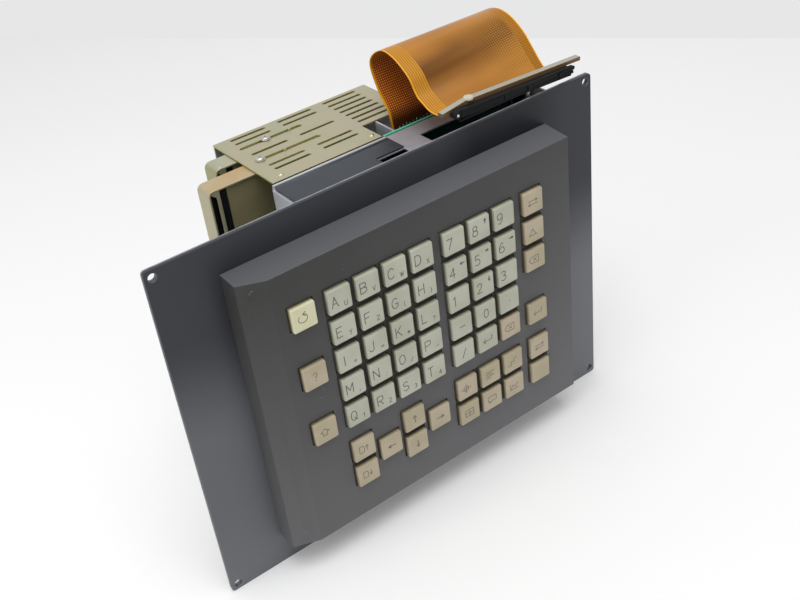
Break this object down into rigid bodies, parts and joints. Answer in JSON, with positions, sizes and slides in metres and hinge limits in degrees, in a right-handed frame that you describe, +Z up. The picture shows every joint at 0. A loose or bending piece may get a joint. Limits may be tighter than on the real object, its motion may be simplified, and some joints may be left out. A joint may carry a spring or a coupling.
{
  "type": "cnc operator panel keyboard unit",
  "caption": "Flat mounting plate with a raised dark key bezel of square keys, a rear sheet-metal chassis and card cage, and a looped amber flat cable.",
  "frame": {"origin": "middle of the mounting plate's back face, where the plate seats on its console", "axes": "+X to the right seen from the key side, +Y from the keys into the console, +Z up"},
  "size_m": [0.29, 0.1363, 0.2551],
  "materials": {
    "plate_paint": "satin dark grey paint on steel, bare bright edges",
    "bezel_plastic": "fine-grained matt dark grey moulding",
    "cream_plastic": "satin greenish cream key caps",
    "beige_plastic": "satin beige key caps",
    "board_green": "green solder mask on glass-fibre board",
    "zinc_sheet": "zinc-plated sheet steel",
    "chromate_sheet": "zinc-plated sheet steel, yellow passivated",
    "black_plastic": "black connector plastic",
    "top_sheet_paint": "blue-grey satin paint on sheet steel",
    "card_brown": "olive brown circuit board",
    "amber_film": "glossy amber polyimide film over copper tracks",
    "end_board_tan": "tan laminated board"
  },
  "bodies": {
    "panel": {"mounting_plate": "plate_paint", "key_bezel": "bezel_plastic", "function_key_mat": "beige_plastic", "keyboard_board": "board_green", "rear_chassis": "zinc_sheet", "chassis_top_sheet": "top_sheet_paint", "interface_board": "board_green", "main_board": "board_green", "vent_cover": "chromate_sheet", "card_cage": "zinc_sheet", "flat_cable": "amber_film", "cable_end_board": "end_board_tan", "cable_plug": "black_plastic", "cable_socket": "black_plastic"},
    "letter_key_a1": {"letter_key_a1": "cream_plastic"},
    "letter_key_a2": {"letter_key_a2": "cream_plastic"},
    "letter_key_a3": {"letter_key_a3": "cream_plastic"},
    "letter_key_a4": {"letter_key_a4": "cream_plastic"},
    "letter_key_b1": {"letter_key_b1": "cream_plastic"},
    "letter_key_b2": {"letter_key_b2": "cream_plastic"},
    "letter_key_b3": {"letter_key_b3": "cream_plastic"},
    "letter_key_b4": {"letter_key_b4": "cream_plastic"},
    "letter_key_c1": {"letter_key_c1": "cream_plastic"},
    "letter_key_c2": {"letter_key_c2": "cream_plastic"},
    "letter_key_c3": {"letter_key_c3": "cream_plastic"},
    "letter_key_c4": {"letter_key_c4": "cream_plastic"},
    "letter_key_d1": {"letter_key_d1": "cream_plastic"},
    "letter_key_d2": {"letter_key_d2": "cream_plastic"},
    "letter_key_d3": {"letter_key_d3": "cream_plastic"},
    "letter_key_d4": {"letter_key_d4": "cream_plastic"},
    "letter_key_e1": {"letter_key_e1": "cream_plastic"},
    "letter_key_e2": {"letter_key_e2": "cream_plastic"},
    "letter_key_e3": {"letter_key_e3": "cream_plastic"},
    "letter_key_e4": {"letter_key_e4": "cream_plastic"},
    "number_key_7": {"number_key_7": "cream_plastic"},
    "number_key_8": {"number_key_8": "cream_plastic"},
    "number_key_9": {"number_key_9": "cream_plastic"},
    "number_key_4": {"number_key_4": "cream_plastic"},
    "number_key_5": {"number_key_5": "cream_plastic"},
    "number_key_6": {"number_key_6": "cream_plastic"},
    "number_key_1": {"number_key_1": "cream_plastic"},
    "number_key_2": {"number_key_2": "cream_plastic"},
    "number_key_3": {"number_key_3": "cream_plastic"},
    "number_key_0": {"number_key_0": "cream_plastic"},
    "minus_key": {"minus_key": "cream_plastic"},
    "point_key": {"point_key": "cream_plastic"},
    "slash_key": {"slash_key": "cream_plastic"},
    "end_of_block_key": {"end_of_block_key": "cream_plastic"},
    "cancel_key": {"cancel_key": "cream_plastic"},
    "reset_key": {"reset_key": "beige_plastic"},
    "alter_key": {"alter_key": "beige_plastic"},
    "insert_key": {"insert_key": "beige_plastic"},
    "delete_key": {"delete_key": "beige_plastic"},
    "input_key": {"input_key": "beige_plastic"},
    "front_carrier": {"front_card_carrier": "chromate_sheet", "front_card": "card_brown", "front_carrier_screw": "zinc_sheet"},
    "rear_carrier": {"rear_card_carrier": "chromate_sheet", "rear_card": "card_brown", "rear_carrier_screw": "zinc_sheet"}
  },
  "joints": [
    {"name": "letter_key_a1_press", "type": "slide", "parent": "panel", "child": "letter_key_a1", "axis": [0, 1, 0], "range_m": [0, 0.0016], "stiffness_N_per_m": 250, "springref_m": -0.0008},
    {"name": "letter_key_a2_press", "type": "slide", "parent": "panel", "child": "letter_key_a2", "axis": [0, 1, 0], "range_m": [0, 0.0016], "stiffness_N_per_m": 250, "springref_m": -0.0008},
    {"name": "letter_key_a3_press", "type": "slide", "parent": "panel", "child": "letter_key_a3", "axis": [0, 1, 0], "range_m": [0, 0.0016], "stiffness_N_per_m": 250, "springref_m": -0.0008},
    {"name": "letter_key_a4_press", "type": "slide", "parent": "panel", "child": "letter_key_a4", "axis": [0, 1, 0], "range_m": [0, 0.0016], "stiffness_N_per_m": 250, "springref_m": -0.0008},
    {"name": "letter_key_b1_press", "type": "slide", "parent": "panel", "child": "letter_key_b1", "axis": [0, 1, 0], "range_m": [0, 0.0016], "stiffness_N_per_m": 250, "springref_m": -0.0008},
    {"name": "letter_key_b2_press", "type": "slide", "parent": "panel", "child": "letter_key_b2", "axis": [0, 1, 0], "range_m": [0, 0.0016], "stiffness_N_per_m": 250, "springref_m": -0.0008},
    {"name": "letter_key_b3_press", "type": "slide", "parent": "panel", "child": "letter_key_b3", "axis": [0, 1, 0], "range_m": [0, 0.0016], "stiffness_N_per_m": 250, "springref_m": -0.0008},
    {"name": "letter_key_b4_press", "type": "slide", "parent": "panel", "child": "letter_key_b4", "axis": [0, 1, 0], "range_m": [0, 0.0016], "stiffness_N_per_m": 250, "springref_m": -0.0008},
    {"name": "letter_key_c1_press", "type": "slide", "parent": "panel", "child": "letter_key_c1", "axis": [0, 1, 0], "range_m": [0, 0.0016], "stiffness_N_per_m": 250, "springref_m": -0.0008},
    {"name": "letter_key_c2_press", "type": "slide", "parent": "panel", "child": "letter_key_c2", "axis": [0, 1, 0], "range_m": [0, 0.0016], "stiffness_N_per_m": 250, "springref_m": -0.0008},
    {"name": "letter_key_c3_press", "type": "slide", "parent": "panel", "child": "letter_key_c3", "axis": [0, 1, 0], "range_m": [0, 0.0016], "stiffness_N_per_m": 250, "springref_m": -0.0008},
    {"name": "letter_key_c4_press", "type": "slide", "parent": "panel", "child": "letter_key_c4", "axis": [0, 1, 0], "range_m": [0, 0.0016], "stiffness_N_per_m": 250, "springref_m": -0.0008},
    {"name": "letter_key_d1_press", "type": "slide", "parent": "panel", "child": "letter_key_d1", "axis": [0, 1, 0], "range_m": [0, 0.0016], "stiffness_N_per_m": 250, "springref_m": -0.0008},
    {"name": "letter_key_d2_press", "type": "slide", "parent": "panel", "child": "letter_key_d2", "axis": [0, 1, 0], "range_m": [0, 0.0016], "stiffness_N_per_m": 250, "springref_m": -0.0008},
    {"name": "letter_key_d3_press", "type": "slide", "parent": "panel", "child": "letter_key_d3", "axis": [0, 1, 0], "range_m": [0, 0.0016], "stiffness_N_per_m": 250, "springref_m": -0.0008},
    {"name": "letter_key_d4_press", "type": "slide", "parent": "panel", "child": "letter_key_d4", "axis": [0, 1, 0], "range_m": [0, 0.0016], "stiffness_N_per_m": 250, "springref_m": -0.0008},
    {"name": "letter_key_e1_press", "type": "slide", "parent": "panel", "child": "letter_key_e1", "axis": [0, 1, 0], "range_m": [0, 0.0016], "stiffness_N_per_m": 250, "springref_m": -0.0008},
    {"name": "letter_key_e2_press", "type": "slide", "parent": "panel", "child": "letter_key_e2", "axis": [0, 1, 0], "range_m": [0, 0.0016], "stiffness_N_per_m": 250, "springref_m": -0.0008},
    {"name": "letter_key_e3_press", "type": "slide", "parent": "panel", "child": "letter_key_e3", "axis": [0, 1, 0], "range_m": [0, 0.0016], "stiffness_N_per_m": 250, "springref_m": -0.0008},
    {"name": "letter_key_e4_press", "type": "slide", "parent": "panel", "child": "letter_key_e4", "axis": [0, 1, 0], "range_m": [0, 0.0016], "stiffness_N_per_m": 250, "springref_m": -0.0008},
    {"name": "number_key_7_press", "type": "slide", "parent": "panel", "child": "number_key_7", "axis": [0, 1, 0], "range_m": [0, 0.0016], "stiffness_N_per_m": 250, "springref_m": -0.0008},
    {"name": "number_key_8_press", "type": "slide", "parent": "panel", "child": "number_key_8", "axis": [0, 1, 0], "range_m": [0, 0.0016], "stiffness_N_per_m": 250, "springref_m": -0.0008},
    {"name": "number_key_9_press", "type": "slide", "parent": "panel", "child": "number_key_9", "axis": [0, 1, 0], "range_m": [0, 0.0016], "stiffness_N_per_m": 250, "springref_m": -0.0008},
    {"name": "number_key_4_press", "type": "slide", "parent": "panel", "child": "number_key_4", "axis": [0, 1, 0], "range_m": [0, 0.0016], "stiffness_N_per_m": 250, "springref_m": -0.0008},
    {"name": "number_key_5_press", "type": "slide", "parent": "panel", "child": "number_key_5", "axis": [0, 1, 0], "range_m": [0, 0.0016], "stiffness_N_per_m": 250, "springref_m": -0.0008},
    {"name": "number_key_6_press", "type": "slide", "parent": "panel", "child": "number_key_6", "axis": [0, 1, 0], "range_m": [0, 0.0016], "stiffness_N_per_m": 250, "springref_m": -0.0008},
    {"name": "number_key_1_press", "type": "slide", "parent": "panel", "child": "number_key_1", "axis": [0, 1, 0], "range_m": [0, 0.0016], "stiffness_N_per_m": 250, "springref_m": -0.0008},
    {"name": "number_key_2_press", "type": "slide", "parent": "panel", "child": "number_key_2", "axis": [0, 1, 0], "range_m": [0, 0.0016], "stiffness_N_per_m": 250, "springref_m": -0.0008},
    {"name": "number_key_3_press", "type": "slide", "parent": "panel", "child": "number_key_3", "axis": [0, 1, 0], "range_m": [0, 0.0016], "stiffness_N_per_m": 250, "springref_m": -0.0008},
    {"name": "number_key_0_press", "type": "slide", "parent": "panel", "child": "number_key_0", "axis": [0, 1, 0], "range_m": [0, 0.0016], "stiffness_N_per_m": 250, "springref_m": -0.0008},
    {"name": "minus_key_press", "type": "slide", "parent": "panel", "child": "minus_key", "axis": [0, 1, 0], "range_m": [0, 0.0016], "stiffness_N_per_m": 250, "springref_m": -0.0008},
    {"name": "point_key_press", "type": "slide", "parent": "panel", "child": "point_key", "axis": [0, 1, 0], "range_m": [0, 0.0016], "stiffness_N_per_m": 250, "springref_m": -0.0008},
    {"name": "slash_key_press", "type": "slide", "parent": "panel", "child": "slash_key", "axis": [0, 1, 0], "range_m": [0, 0.0016], "stiffness_N_per_m": 250, "springref_m": -0.0008},
    {"name": "end_of_block_key_press", "type": "slide", "parent": "panel", "child": "end_of_block_key", "axis": [0, 1, 0], "range_m": [0, 0.0016], "stiffness_N_per_m": 250, "springref_m": -0.0008},
    {"name": "cancel_key_press", "type": "slide", "parent": "panel", "child": "cancel_key", "axis": [0, 1, 0], "range_m": [0, 0.0016], "stiffness_N_per_m": 250, "springref_m": -0.0008},
    {"name": "reset_key_press", "type": "slide", "parent": "panel", "child": "reset_key", "axis": [0, 1, 0], "range_m": [0, 0.0016], "stiffness_N_per_m": 250, "springref_m": -0.0008},
    {"name": "alter_key_press", "type": "slide", "parent": "panel", "child": "alter_key", "axis": [0, 1, 0], "range_m": [0, 0.0016], "stiffness_N_per_m": 250, "springref_m": -0.0008},
    {"name": "insert_key_press", "type": "slide", "parent": "panel", "child": "insert_key", "axis": [0, 1, 0], "range_m": [0, 0.0016], "stiffness_N_per_m": 250, "springref_m": -0.0008},
    {"name": "delete_key_press", "type": "slide", "parent": "panel", "child": "delete_key", "axis": [0, 1, 0], "range_m": [0, 0.0016], "stiffness_N_per_m": 250, "springref_m": -0.0008},
    {"name": "input_key_press", "type": "slide", "parent": "panel", "child": "input_key", "axis": [0, 1, 0], "range_m": [0, 0.0016], "stiffness_N_per_m": 250, "springref_m": -0.0008},
    {"name": "front_carrier_slide", "type": "slide", "parent": "panel", "child": "front_carrier", "axis": [1, 0, 0], "range_m": [0, 0.022]},
    {"name": "rear_carrier_slide", "type": "slide", "parent": "panel", "child": "rear_carrier", "axis": [1, 0, 0], "range_m": [-0.0155, 0.0065]}
  ]
}
